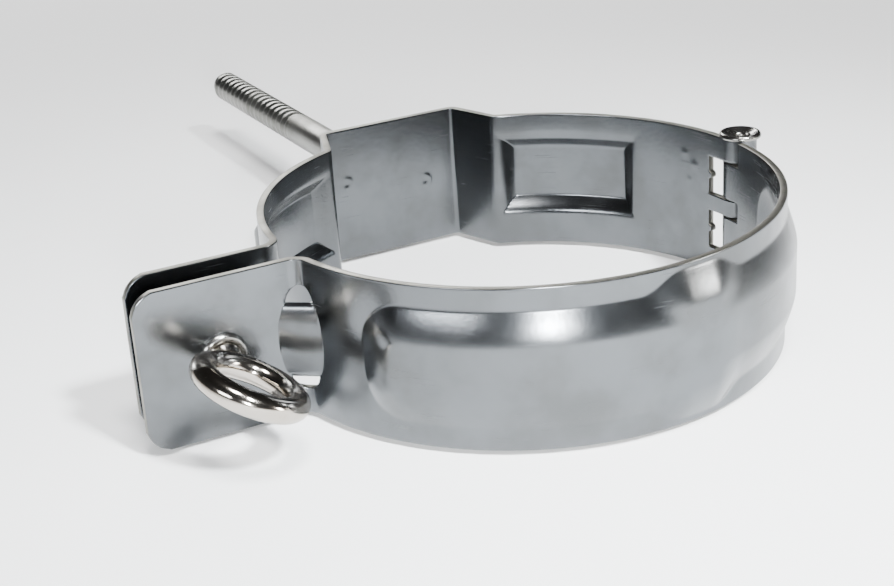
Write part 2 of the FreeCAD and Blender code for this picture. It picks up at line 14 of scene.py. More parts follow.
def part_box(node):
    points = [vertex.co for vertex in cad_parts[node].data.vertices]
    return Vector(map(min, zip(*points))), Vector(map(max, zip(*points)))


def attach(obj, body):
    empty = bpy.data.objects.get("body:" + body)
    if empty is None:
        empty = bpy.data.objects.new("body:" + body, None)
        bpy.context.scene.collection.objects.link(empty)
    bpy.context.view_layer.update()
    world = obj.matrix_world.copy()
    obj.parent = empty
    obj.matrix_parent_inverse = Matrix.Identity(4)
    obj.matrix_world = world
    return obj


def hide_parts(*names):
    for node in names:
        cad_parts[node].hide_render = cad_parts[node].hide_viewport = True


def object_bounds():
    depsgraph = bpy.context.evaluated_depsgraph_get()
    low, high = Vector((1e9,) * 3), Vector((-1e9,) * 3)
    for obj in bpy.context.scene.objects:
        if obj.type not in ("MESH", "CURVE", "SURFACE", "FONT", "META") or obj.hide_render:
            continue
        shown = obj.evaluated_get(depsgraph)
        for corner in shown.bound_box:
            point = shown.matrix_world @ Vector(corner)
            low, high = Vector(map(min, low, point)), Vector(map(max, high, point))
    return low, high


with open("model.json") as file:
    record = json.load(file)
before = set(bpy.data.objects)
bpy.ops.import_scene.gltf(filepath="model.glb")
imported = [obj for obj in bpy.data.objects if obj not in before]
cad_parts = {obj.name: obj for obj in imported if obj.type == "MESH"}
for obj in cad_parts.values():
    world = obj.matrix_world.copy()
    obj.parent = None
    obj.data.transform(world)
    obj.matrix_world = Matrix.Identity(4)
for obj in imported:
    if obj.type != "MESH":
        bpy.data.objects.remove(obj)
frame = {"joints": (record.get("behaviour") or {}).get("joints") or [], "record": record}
CAD_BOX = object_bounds()
LOG = logging.getLogger("clamp")
Array = np.ndarray
MM = 0.001


class Side(Enum):
    """Which half of the band: the sign of Y on which it lies."""

    REAR = 1
    FRONT = -1


class Turned(Enum):
    """The axis that a turned piece stands along."""

    PIPE = "z"
    BOLT = "y"


# ---- Shapes in two parameters ----

def soft_union(a: Array, b: Array, blend: float) -> Array:
    """Joins two signed distances with a rounded inner corner.

    Args:
        a: first signed distance, negative inside.
        b: second signed distance.
        blend: width over which they melt together.

    Returns:
        The smaller distance, lowered by a parabola where both are nearly equal.
    """
    share = np.clip(0.5 + 0.5 * (b - a) / blend, 0.0, 1.0)
    return b * (1 - share) + a * share - blend * share * (1 - share)


def rounded_box(u: Array, v: Array, half_u: float, half_v: float, corner: float) -> Array:
    """Signed distance to a rectangle with round corners: the length of what sticks out past the
    rectangle shrunk by the corner radius, less that radius.

    Args:
        u: distance from the middle along the sheet.
        v: distance from the middle across the sheet.
        half_u: half length.
        half_v: half height.
        corner: corner radius.

    Returns:
        The signed distance, negative inside.
    """
    qu, qv = np.abs(u) - half_u + corner, np.abs(v) - half_v + corner
    outside = np.hypot(np.maximum(qu, 0), np.maximum(qv, 0))
    return outside + np.minimum(np.maximum(qu, qv), 0) - corner


def mitred_box(u: Array, v: Array, half_u: float, half_v: float) -> Array:
    """Distance to the nearest side of a rectangle, negative inside, with mitred corners."""
    return np.maximum(np.abs(u) - half_u, np.abs(v) - half_v)


def pressed(distance: Array, shoulder: float, depth: float, foot: float, crown: float) -> Array:
    """Height of a pressing: zero outside its outline, rising over the shoulder to the full depth.

    The share t of the shoulder that is climbed is rounded at the foot by a hyperbola, and the
    height is depth times one less (1 - t) to the power crown.

    Args:
        distance: signed distance to the outline, negative inside.
        shoulder: width of the slope.
        depth: full height.
        foot: rounding of the foot as a share of the shoulder.
        crown: 1 for a straight slope, more for a soft crest.

    Returns:
        The height at each point.
    """
    climbed = -distance / shoulder
    eased_in = 0.5 * (climbed + np.sqrt(climbed ** 2 + foot ** 2)) - foot ** 2 / 8
    return depth * (1 - (1 - np.clip(eased_in, 0.0, 1.0)) ** crown)


def dent(u: Array, v: Array, radius: float, depth: float) -> Array:
    """A round dent: depth times the bell curve of the distance over the radius."""
    return depth * np.exp(-(u ** 2 + v ** 2) / radius ** 2)


def eased(corners: Sequence[Tuple[float, float]], ease: float, closed: bool = True, steps: int = 4) -> Array:
    """Rounds the corners of a profile: each corner becomes a parabola between two points that
    stand the ease away from it, or less where a side is short.

    Args:
        corners: the profile's corner points.
        ease: how far from the corner the rounding starts.
        closed: whether the last point joins the first; if not, both ends stay sharp.
        steps: points in each rounding.

    Returns:
        The rounded profile as an array of points.
    """
    here = np.array(corners, float)
    before, after = np.roll(here, 1, 0), np.roll(here, -1, 0)
    to_before = np.linalg.norm(before - here, axis=1, keepdims=True)
    to_after = np.linalg.norm(after - here, axis=1, keepdims=True)
    cut = np.minimum(ease, 0.45 * np.minimum(to_before, to_after))
    start = here + (before - here) * cut / to_before
    end = here + (after - here) * cut / to_after
    t = np.linspace(0, 1, steps)[None, :, None]
    arcs = (1 - t) ** 2 * start[:, None] + 2 * t * (1 - t) * here[:, None] + t ** 2 * end[:, None]
    if closed:
        return arcs.reshape(-1, 2)
    return np.vstack([here[:1], arcs[1:-1].reshape(-1, 2), here[-1:]])


def graded(breaks: Sequence[float], step: float) -> Array:
    """Even divisions between the given values, each no wider than the step, the values included."""
    runs = [np.linspace(a, b, max(1, math.ceil((b - a) / step)) + 1)[:-1] for a, b in zip(breaks, breaks[1:])]
    return np.concatenate(runs + [np.array([breaks[-1]])])


# ---- Plan paths of the sheet ----

DENSE = 0.04


def line(start: Tuple[float, float], end: Tuple[float, float]) -> Array:
    """Points along a straight run."""
    count = max(2, int(math.dist(start, end) / DENSE))
    t = np.linspace(0, 1, count)[:, None]
    return (1 - t) * np.array(start) + t * np.array(end)


def arc(centre: Tuple[float, float], radius: float, first: float, last: float) -> Array:
    """Points along an arc, its two angles in degrees."""
    count = max(2, int(abs(math.radians(last - first)) * radius / DENSE))
    turn = np.radians(np.linspace(first, last, count))
    return np.stack([centre[0] + radius * np.cos(turn), centre[1] + radius * np.sin(turn)], axis=1)


def lengths(points: Array) -> Array:
    """Distance along a row of points from its first to each."""
    return np.concatenate([[0.0], np.cumsum(np.linalg.norm(np.diff(points, axis=0), axis=1))])


def bend(first: Array, second: Array, radius: float) -> Array:
    """Joins two runs that meet in a corner by a bend.

    Each run is cut back by the radius times the tangent of half the turn, and a cubic whose
    handles are 4/3 of the radius times the tangent of a quarter of the turn joins them.

    Args:
        first: the run that arrives at the corner.
        second: the run that leaves it.
        radius: bend radius at the middle of the sheet.

    Returns:
        The joined run.
    """
    into = (first[-1] - first[-2]) / np.linalg.norm(first[-1] - first[-2])
    out = (second[1] - second[0]) / np.linalg.norm(second[1] - second[0])
    turn = math.acos(float(np.clip(into @ out, -1, 1)))
    back = radius * math.tan(turn / 2)
    kept = first[lengths(first) <= lengths(first)[-1] - back]
    left = second[lengths(second) >= back]
    start, end = kept[-1], left[0]
    along = (kept[-1] - kept[-2]) / np.linalg.norm(kept[-1] - kept[-2])
    away = (left[1] - left[0]) / np.linalg.norm(left[1] - left[0])
    reach = 4 / 3 * math.tan(turn / 4) * radius
    t = np.linspace(0, 1, max(8, int(2 * back / DENSE)))[1:-1, None]
    curve = ((1 - t) ** 3 * start + 3 * t * (1 - t) ** 2 * (start + reach * along)
             + 3 * t ** 2 * (1 - t) * (end - reach * away) + t ** 3 * end)
    return np.vstack([kept, curve, left])


@dataclass(frozen=True)
class Path:
    """The middle line of a bent sheet in plan, with its outward side."""

    points: Array
    side: Side

    def reach(self) -> float:
        """Length of the whole path."""
        return float(lengths(self.points)[-1])

    def at(self, run: Array) -> Tuple[Array, Array]:
        """Places and outward directions at distances along the path.

        Args:
            run: distances from the path's start.

        Returns:
            The plan positions and the unit normals, each with a last axis of two.
        """
        along = lengths(self.points)
        place = np.stack([np.interp(run, along, self.points[:, i]) for i in (0, 1)], axis=-1)
        ahead = np.stack([np.interp(run + 0.1, along, self.points[:, i]) for i in (0, 1)], axis=-1)
        behind = np.stack([np.interp(run - 0.1, along, self.points[:, i]) for i in (0, 1)], axis=-1)
        tangent = (ahead - behind) / np.linalg.norm(ahead - behind, axis=-1, keepdims=True)
        outward = self.side.value * np.stack([tangent[..., 1], -tangent[..., 0]], axis=-1)
        return place, outward

    def nearest(self, place: Tuple[float, float]) -> float:
        """Distance along the path to its point nearest a plan position."""
        gaps = np.linalg.norm(self.points - np.array(place), axis=1)
        return float(lengths(self.points)[int(gaps.argmin())])


# ---- Meshes ----

def grid_faces(rows: int, columns: int, round_rows: bool, round_columns: bool) -> Array:
    """Corner numbers of the four-sided faces of a grid.

    Args:
        rows: points along the first parameter.
        columns: points along the second parameter.
        round_rows: whether the first parameter closes on itself.
        round_columns: whether the second one does.

    Returns:
        One row of four corner numbers for each face.
    """
    i = np.arange(rows if round_rows else rows - 1)
    j = np.arange(columns if round_columns else columns - 1)
    i, j = [a.ravel() for a in np.meshgrid(i, j, indexing="ij")]
    i2, j2 = (i + 1) % rows, (j + 1) % columns
    return np.stack([i * columns + j, i2 * columns + j, i2 * columns + j2, i * columns + j2], axis=1)


def linked(name: str, data: bpy.types.ID) -> bpy.types.Object:
    """An object in the scene that holds the data."""
    holder = bpy.data.objects.new(name, data)
    bpy.context.scene.collection.objects.link(holder)
    return holder


def mesh_from(name: str, points: Array, faces: Array,
              caps: Sequence[Sequence[int]] = ()) -> bpy.types.Object:
    """A mesh object at the origin, its places given in millimetres and stored in metres.

    Args:
        name: the piece's name.
        points: places, one row each.
        faces: corner numbers of four-sided faces.
        caps: corner numbers of end faces with any number of sides.

    Returns:
        The object, with doubled points merged and its faces turned outwards if it is closed.
    """
    data = bpy.data.meshes.new(name)
    data.from_pydata((points.reshape(-1, 3) * MM).tolist(), [], faces.tolist() + [list(c) for c in caps])
    work = bmesh.new()
    work.from_mesh(data)
    bmesh.ops.remove_doubles(work, verts=work.verts, dist=1e-7)
    bmesh.ops.dissolve_degenerate(work, edges=work.edges, dist=1e-8)
    bmesh.ops.delete(work, geom=[v for v in work.verts if not v.link_faces], context="VERTS")
    if all(e.is_manifold for e in work.edges):
        bmesh.ops.recalc_face_normals(work, faces=work.faces)
        if work.calc_volume(signed=True) < 0:
            bmesh.ops.reverse_faces(work, faces=work.faces)
    work.to_mesh(data)
    work.free()
    return linked(name, data)


def joined(name: str, pieces: Sequence[bpy.types.Object]) -> bpy.types.Object:
    """Several closed meshes as one object."""
    work = bmesh.new()
    for piece in pieces:
        work.from_mesh(piece.data)
        bpy.data.objects.remove(piece)
    data = bpy.data.meshes.new(name)
    work.to_mesh(data)
    work.free()
    return linked(name, data)


def smooth(piece: bpy.types.Object, angle: float = 38.0) -> bpy.types.Object:
    """Smooth shading, with edges sharper than the angle in degrees left crisp."""
    piece.data.shade_smooth()
    piece.data.set_sharp_from_angle(angle=math.radians(angle))
    return piece


def settle(piece: bpy.types.Object) -> bpy.types.Object:
    """Puts the result of the modifiers into the mesh and removes them."""
    seen = bpy.context.evaluated_depsgraph_get()
    data = bpy.data.meshes.new_from_object(piece.evaluated_get(seen))
    piece.modifiers.clear()
    piece.data = data
    return piece


def lathe(name: str, profile: Array, axis: Turned, centre: Tuple[float, float], segments: int,
          sweep: Tuple[float, float] = (0.0, 360.0), closed: bool = True,
          radius: Optional[Callable[[Array, Array, Array], Array]] = None) -> bpy.types.Object:
    """A turned piece: a profile of radius and height carried round an axis.

    A point is the centre plus the radius times the cosine and the sine of the turn, at the height.

    Args:
        name: the piece's name.
        profile: rows of radius and height.
        axis: along the pipe or along the bolt.
        centre: the axis's place in the two other directions.
        segments: steps round the axis.
        sweep: first and last angle in degrees.
        closed: whether the profile closes on itself; if not, its ends lie on the axis.
        radius: changes the radius, given the turn, the radius and the height.

    Returns:
        The object.
    """
    full = abs(sweep[1] - sweep[0]) >= 360
    turn = np.radians(np.linspace(*sweep, segments + 1))
    turn = (turn[:-1] if full else turn)[:, None]
    r = np.broadcast_to(profile[None, :, 0], (len(turn), len(profile)))
    h = np.broadcast_to(profile[None, :, 1], r.shape)
    if radius is not None:
        r = radius(turn, r, h)
    a, b = centre[0] + r * np.cos(turn), centre[1] + r * np.sin(turn)
    points = np.stack([a, b, h] if axis is Turned.PIPE else [a, h, b], axis=-1)
    faces = grid_faces(len(turn), len(profile), full, closed)
    last = (len(turn) - 1) * len(profile)
    caps = [] if full else [range(len(profile)), range(last, last + len(profile))]
    return mesh_from(name, points, faces, caps)


def thread(start: float, end: float, pitch: float, depth: float) -> Callable[[Array, Array, Array], Array]:
    """A rolled thread on a turned piece.

    Within the threaded length the radius loses the depth times a rounded zigzag of the height
    over the pitch less the turn over a full turn, and it fades out over the first pitch.

    Args:
        start: height where the thread runs out.
        end: height of the threaded tip.
        pitch: rise in one turn.
        depth: crest to root.

    Returns:
        The function that lathe takes.
    """
    def cut(turn: Array, r: Array, h: Array) -> Array:
        """The radius with the thread rolled in."""
        zigzag = np.abs(2 * ((h / pitch - turn / (2 * math.pi)) % 1.0) - 1)
        rounded = np.clip((zigzag - 0.1) / 0.78, 0, 1)
        rounded = rounded * rounded * (3 - 2 * rounded)
        fade = np.clip((h - start) / pitch, 0, 1) * np.clip((end - h) / (0.3 * pitch), 0, 1)
        return np.where(r > 0, r - depth * rounded * fade, r)
    return cut


# ---- Sizes that pieces share, from the frame ----

def low(node: str) -> Vector:
    """Lowest corner of a node in millimetres."""
    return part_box(node)[0] / MM


def high(node: str) -> Vector:
    """Highest corner of a node in millimetres."""
    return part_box(node)[1] / MM


@dataclass(frozen=True)
class Plan:
    """Places and sizes in millimetres that several pieces share."""

    radius: float
    half_height: float
    hinge_x: float
    barrel: float
    seat_face: float
    rear_ear_in: float
    bolt_x: float
    stud_tip: float
    sheet: float = 1.5
    ear_gap: float = 7.4
    window_low: float = 1.9
    window_top: float = 10.4
    knuckle_play: float = 0.25
    seat_half: float = 17.0
    seat_foot: float = 66.0
    gusset_half: float = 7.0

    @classmethod
    def measure(cls) -> "Plan":
        """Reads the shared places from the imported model."""
        mounts = {mount["name"]: mount for mount in frame["record"]["mounts"]}
        joints = {joint["name"]: joint for joint in frame["joints"]}
        radius = float(mounts["pipe_bore"]["dims"]["r_mm"])
        hinge_x = joints["front_swing"]["pos_m"][0] / MM
        return cls(
            radius=radius, half_height=high("rear_half").z, hinge_x=hinge_x, barrel=hinge_x - radius,
            seat_face=low("stud").y, rear_ear_in=low("weld_nut").y,
            bolt_x=joints["bolt_spin"]["pos_m"][0] / MM,
            stud_tip=high("stud").y)

    def middle(self) -> float:
        """Radius of the band's middle layer."""
        return self.radius + self.sheet / 2

    def ear_y(self, side: Side) -> float:
        """Where the middle layer of an ear stands along Y."""
        if side is Side.REAR:
            return self.rear_ear_in + self.sheet / 2
        return self.rear_ear_in - self.ear_gap - self.sheet / 2


# ---- Finishes ----

class Wiring:
    """Adds nodes to a tree and joins them."""

    def __init__(self, tree: bpy.types.NodeTree) -> None:
        """Starts on an empty tree."""
        self.tree = tree

    @classmethod
    def fresh(cls, owner: bpy.types.ID) -> "Wiring":
        """Empties the node tree of a material or a world."""
        owner.use_nodes = True
        owner.node_tree.nodes.clear()
        return cls(owner.node_tree)

    def add(self, kind: str, **values: object) -> bpy.types.Node:
        """A node of a kind, its input sockets set or joined by name.

        Args:
            kind: the node's type.
            values: socket names, with spaces written as underscores, to a number, a colour or
                another node's output socket; a name that starts with set_ is a property instead.

        Returns:
            The node.
        """
        node = self.tree.nodes.new(kind)
        for key, value in values.items():
            if key.startswith("set_"):
                setattr(node, key[4:], value)
        for key, value in values.items():
            if key.startswith("set_"):
                continue
            socket = node.inputs[int(key[1:])] if key[1:].isdigit() else node.inputs[key.replace("_", " ")]
            if isinstance(value, bpy.types.NodeSocket):
                self.tree.links.new(value, socket)
            else:
                socket.default_value = value
        return node

    def math(self, operation: str, a: object, b: object = 0.0, c: object = 0.0) -> bpy.types.NodeSocket:
        """The output of a Math node."""
        return self.add("ShaderNodeMath", set_operation=operation, i0=a, i1=b, i2=c).outputs[0]

    def span(self, value: object, start: float, end: float, low_to: float = 0.0,
             high_to: float = 1.0) -> bpy.types.NodeSocket:
        """A value carried from one range to another, smoothly and kept inside it."""
        node = self.add("ShaderNodeMapRange", set_interpolation_type="SMOOTHSTEP", Value=value,
                        From_Min=start, From_Max=end, To_Min=low_to, To_Max=high_to)
        return node.outputs[0]


def new_group(name: str, inputs: Sequence[Tuple[str, float]],
              outputs: Sequence[str]) -> Tuple[Wiring, bpy.types.Node, bpy.types.Node]:
    """An empty shader node group with number sockets.

    Args:
        name: the group's name.
        inputs: names and first values.
        outputs: names.

    Returns:
        The wiring, the group's input node and its output node.
    """
    tree = bpy.data.node_groups.new(name, "ShaderNodeTree")
    for label, value in inputs:
        socket = tree.interface.new_socket(label, in_out="INPUT", socket_type="NodeSocketFloat")
        socket.default_value = value
    for label in outputs:
        tree.interface.new_socket(label, in_out="OUTPUT", socket_type="NodeSocketFloat")
    wiring = Wiring(tree)
    return wiring, wiring.add("NodeGroupInput"), wiring.add("NodeGroupOutput")


CRYSTAL_SCALE = 6500.0
SMUDGE_SCALE = 55.0


def plating_group() -> bpy.types.NodeTree:
    """Orange peel and fine crystals of a plated surface: two noises, the finer one much weaker."""
    inputs = [("Peel Scale", 1100.0), ("Crystal Scale", CRYSTAL_SCALE)]
    wiring, source, result = new_group("plating_grain", inputs, ["Peel", "Crystals"])
    place = wiring.add("ShaderNodeTexCoord").outputs["Object"]
    peel = wiring.add("ShaderNodeTexNoise", Vector=place, Scale=source.outputs[0], Detail=2.0, Roughness=0.45)
    crystals = wiring.add("ShaderNodeTexNoise", Vector=place, Scale=source.outputs[1], Detail=1.0,
                          Roughness=0.6)
    wiring.tree.links.new(peel.outputs[0], result.inputs[0])
    wiring.tree.links.new(crystals.outputs[0], result.inputs[1])
    return wiring.tree


def handling_group() -> bpy.types.NodeTree:
    """What handling leaves: cloudy smudges, and fine scratches that run round the pipe's axis."""
    inputs = [("Smudge Scale", SMUDGE_SCALE), ("Scratch Amount", 0.5)]
    wiring, source, result = new_group("handling_marks", inputs, ["Smudge", "Scratch"])
    place = wiring.add("ShaderNodeTexCoord").outputs["Object"]
    cloud = wiring.add("ShaderNodeTexNoise", Vector=place, Scale=source.outputs[0], Detail=4.0, Roughness=0.6)
    smudge = wiring.span(cloud.outputs[0], 0.38, 0.68)
    drawn = wiring.add("ShaderNodeMapping", Vector=place, Scale=(60.0, 60.0, 5200.0))
    lines = wiring.add("ShaderNodeTexNoise", Vector=drawn.outputs[0], Scale=1.0, Detail=1.0)
    fine = wiring.span(lines.outputs[0], 0.64, 0.74)
    patches = wiring.add("ShaderNodeTexNoise", Vector=place, Scale=130.0, Detail=2.0)
    where = wiring.span(patches.outputs[0], 0.5, 0.62)
    scratch = wiring.math("MULTIPLY", wiring.math("MULTIPLY", fine, where), source.outputs[1])
    wiring.tree.links.new(smudge, result.inputs[0])
    wiring.tree.links.new(scratch, result.inputs[1])
    return wiring.tree


GROUPS = {"plating": plating_group(), "handling": handling_group()}


@dataclass(frozen=True)
class Metal:
    """A metal finish.

    The colours are those of clean and of smudged metal, and on the chrome their warm tint is a
    painted reflection of brownish surroundings; cloud is what a smudge adds to the roughness; peel
    and crystals are bump heights in millimetres, and peel_size is the width of the orange peel;
    scratches is how strongly they show.
    """

    name: str
    clean: Tuple[float, float, float]
    smudged: Tuple[float, float, float]
    roughness: float
    cloud: float
    peel: float
    peel_size: float
    crystals: float
    scratches: float
    scratch_gloss: float = 0.18
    crystal_gloss: float = 0.10

    def build(self) -> bpy.types.Material:
        """Makes the material: colour and gloss follow the smudges, bumps follow the plating."""
        made = bpy.data.materials.new(self.name)
        wiring = Wiring.fresh(made)
        plating = wiring.add("ShaderNodeGroup", set_node_tree=GROUPS["plating"],
                             Peel_Scale=1 / (MM * self.peel_size), Crystal_Scale=CRYSTAL_SCALE)
        handling = wiring.add("ShaderNodeGroup", set_node_tree=GROUPS["handling"],
                              Smudge_Scale=SMUDGE_SCALE, Scratch_Amount=self.scratches)
        smudge, scratch = handling.outputs
        colour = wiring.add("ShaderNodeMix", set_data_type="RGBA", i0=smudge)
        colour.inputs[6].default_value = (*self.clean, 1.0)
        colour.inputs[7].default_value = (*self.smudged, 1.0)
        gloss = wiring.math("MULTIPLY_ADD", smudge, self.cloud, self.roughness)
        gloss = wiring.math("MULTIPLY_ADD", scratch, self.scratch_gloss, gloss)
        gloss = wiring.math("MULTIPLY_ADD", plating.outputs[1], self.crystal_gloss, gloss)
        height = wiring.math("MULTIPLY", plating.outputs[0], self.peel)
        height = wiring.math("MULTIPLY_ADD", plating.outputs[1], self.crystals, height)
        height = wiring.math("MULTIPLY_ADD", scratch, -self.crystals, height)
        bump = wiring.add("ShaderNodeBump", Strength=1.0, Distance=MM, Height=height)
        shader = wiring.add("ShaderNodeBsdfPrincipled", Metallic=1.0, Roughness=gloss,
                            Base_Color=colour.outputs[2], Normal=bump.outputs[0])
        wiring.add("ShaderNodeOutputMaterial", Surface=shader.outputs[0])
        return made


class Finish(Enum):
    """The finishes on the clamp."""

    SHEET = Metal("bright_plated_sheet", (0.122, 0.129, 0.137), (0.098, 0.102, 0.105),
                  0.14, 0.07, 0.010, 0.9, 0.0065, 0.5)
    SHEARED = Metal("sheared_edge", (0.22, 0.215, 0.19), (0.11, 0.105, 0.09),
                    0.32, 0.16, 0.030, 0.35, 0.012, 1.0)
    RIVET = Metal("rivet_plate", (0.27, 0.265, 0.25), (0.17, 0.165, 0.155),
                  0.14, 0.10, 0.010, 0.7, 0.003, 0.4)
    STUD = Metal("stud_zinc", (0.27, 0.27, 0.255), (0.17, 0.17, 0.155),
                 0.24, 0.14, 0.018, 0.5, 0.008, 0.6)
    PLATE = Metal("plate_zinc", (0.26, 0.27, 0.275), (0.19, 0.195, 0.195),
                  0.26, 0.14, 0.020, 0.7, 0.008, 0.8)
    # Chrome: the warm tint of both colours, strongest in the smudged one, is a painted reflection of brownish
    # surroundings; the smudge patches themselves are handling marks.
    CHROME = Metal("chrome_with_painted_warm_reflection", (0.52, 0.49, 0.445), (0.42, 0.375, 0.32),
                   0.05, 0.05, 0.003, 1.6, 0.0006, 0.2)
    SPRING = Metal("clip_spring_steel", (0.17, 0.17, 0.175), (0.10, 0.095, 0.095),
                   0.32, 0.16, 0.012, 0.5, 0.006, 0.5)


MADE: Dict[Finish, bpy.types.Material] = {}


def finish(which: Finish) -> bpy.types.Material:
    """The material of a finish, made once."""
    if which not in MADE:
        MADE[which] = which.value.build()
    return MADE[which]


def dress(piece: bpy.types.Object, which: Finish, body: str, node: str) -> bpy.types.Object:
    """Gives a piece its finish, its body and the node that it stands for.

    Args:
        piece: the finished mesh.
        which: its finish; a piece that already has materials keeps them.
        body: the body that it moves with.
        node: the node that it replaces.

    Returns:
        The piece.
    """
    if not piece.data.materials:
        piece.data.materials.append(finish(which))
    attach(piece, body)
    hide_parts(node)
    LOG.info("%s: %d faces on %s", piece.name, len(piece.data.polygons), body)
    return piece


# ---- The two half bands ----

@dataclass
class HalfBand:
    """What both half bands share: a bent sheet with an ear, a hole for the nut or the collar, a
    gusset and rolled knuckles."""

    plan: Plan
    side: Side
    node: str
    body: str
    hole: float
    hinge_gap: float
    step: float = 0.5
    wrap: float = 293.0
    ear_corner: float = 5.0
    ear_bend: float = 3.25
    gusset_edge: float = 3.1
    gusset_mid: float = 5.2
    opening_radius: float = 3.4
    edge_round: float = 0.17
    bow: float = 0.22
    bow_rate: float = 1.9
    bow_shift: float = 0.35
    draw_radius: float = 8.0
    draw_depth: float = 0.35

    def curl(self) -> Array:
        """The knuckle's roll round the hinge axis, from its free end to the band."""
        turn = 180 + self.side.value * self.wrap
        return arc((self.plan.hinge_x, 0.0), self.plan.barrel - self.plan.sheet / 2, turn, 180.0)

    def ear(self) -> Array:
        """The straight ear, from the band's middle circle to its tip."""
        y = self.plan.ear_y(self.side)
        root = -math.sqrt(self.plan.middle() ** 2 - y ** 2)
        return line((root, y), (low(self.node).x, y))

    def root_angle(self) -> float:
        """Angle at which the ear leaves the band."""
        sine = abs(self.plan.ear_y(self.side)) / self.plan.middle()
        return self.side.value * (180 - math.degrees(math.asin(sine)))

    def path(self) -> Path:
        """The half band's middle line from its knuckle to its ear's tip."""
        raise NotImplementedError

    def hinge_outline(self, run: Array, z: Array, path: Path) -> Array:
        """Signed distance to what is cut out of the sheet at the hinge, positive inside the cut."""
        raise NotImplementedError

    def relief(self, run: Array, z: Array, place: Array, path: Path) -> Array:
        """Height of the pressings."""
        raise NotImplementedError

    def hinge_cut_run(self, path: Path) -> float:
        """Distance along the path to the far edge of the cuts at the hinge, which clear the other
        half's knuckles by the hinge gap."""
        y = self.plan.barrel + self.hinge_gap
        return path.nearest((math.sqrt(self.plan.middle() ** 2 - y ** 2), self.side.value * y))

    def corner_run(self, path: Path) -> float:
        """Distance along the path to the middle of the ear's bend."""
        root = self.ear()[0]
        return path.nearest((root[0], root[1]))

    def bolt_run(self, path: Path) -> float:
        """Distance along the path to the bolt's axis."""
        return path.nearest((self.plan.bolt_x, self.plan.ear_y(self.side)))

    def outline(self, run: Array, z: Array, path: Path) -> Array:
        """Signed distance to the sheet's outline, negative in the sheet: its rounded ear less the
        bolt's hole, the two round-topped openings at the gusset and the cuts at the hinge."""
        half, reach = self.plan.half_height, path.reach()
        ear = rounded_box(run - reach + half, z, half, half, self.ear_corner)
        sheet = np.where(run > reach - half, ear, -self.plan.sheet)
        hole = np.hypot(run - self.bolt_run(path), z) - self.hole
        across = run - self.corner_run(path)
        lip = self.plan.gusset_half
        dome = np.maximum(np.hypot(across, np.abs(z) - lip) - self.opening_radius, lip - np.abs(z))
        cuts = np.minimum(np.minimum(hole, dome), -self.hinge_outline(run, z, path))
        return np.maximum(sheet, -cuts)

    def bridge(self, run: Array, z: Array, place: Array, path: Path) -> Array:
        """Draws the strap at the ear's bend straight: within the half width a, a point moves onto
        the chord between the path's points at minus a and plus a. The half width grows as an
        ellipse from the strap's edges to its middle."""
        middle = self.corner_run(path)
        share = np.sqrt(np.clip(1 - (z / self.plan.gusset_half) ** 2, 0, 1))
        reach = self.gusset_edge + (self.gusset_mid - self.gusset_edge) * share
        reach = np.where(np.abs(z) <= self.plan.gusset_half + 1e-6, reach, 1e-3)
        first, _ = path.at(middle - reach)
        last, _ = path.at(middle + reach)
        t = np.clip((run - middle + reach) / (2 * reach), 0, 1)[..., None]
        inside = (np.abs(run - middle) < reach)[..., None]
        return np.where(inside, first + (last - first) * t, place)

    def ear_wave(self, run: Array, z: Array, path: Path) -> Array:
        """Small faults of the ear's flatness: it is drawn in by a round dent about the bolt, and
        bowed by a cosine of the height."""
        from_bolt = run - self.bolt_run(path)
        on_ear = np.clip((run - self.corner_run(path) - self.gusset_mid) / self.gusset_mid, 0, 1)
        bow = self.bow * np.cos(z / self.plan.half_height * self.bow_rate - self.bow_shift)
        return on_ear * (bow + dent(from_bolt, z, self.draw_radius, -self.draw_depth))

    def place_points(self, run: Array, z: Array, path: Path) -> Array:
        """The middle layer's place at each grid point: along the path, then outwards by the height."""
        place, outward = path.at(run)
        place = self.bridge(run, z, place, path)
        height = self.relief(run, z, place, path) + self.ear_wave(run, z, path)
        flat = place + outward * height[..., None]
        return np.concatenate([flat, z[..., None]], axis=-1)

    def snapped(self, run: Array, z: Array, edge: Array, path: Path) -> Tuple[Array, Array]:
        """Draws the cut edge of the grid onto the outline: in each of a few steps a point moves by
        its distance along the distance's slope, measured over a small nudge both ways.

        Args:
            run: distances along the path.
            z: heights.
            edge: which points are on the cut edge.
            path: the half band's middle line.

        Returns:
            The new distances and heights.
        """
        nudge, least, half = 0.02, 0.2, self.plan.half_height

        def away(along: float, up: float) -> Array:
            """The signed distance a little further along and up."""
            return self.outline(run + along, z + up, path)

        for _ in range(3):
            slope_run = (away(nudge, 0.0) - away(-nudge, 0.0)) / (2 * nudge)
            slope_z = (away(0.0, nudge) - away(0.0, -nudge)) / (2 * nudge)
            steep = np.maximum(slope_run ** 2 + slope_z ** 2, least)
            distance = np.where(edge, np.clip(away(0.0, 0.0), -self.step, self.step), 0.0)
            run, z = run - distance * slope_run / steep, z - distance * slope_z / steep
        return run, np.clip(z, -half, half)

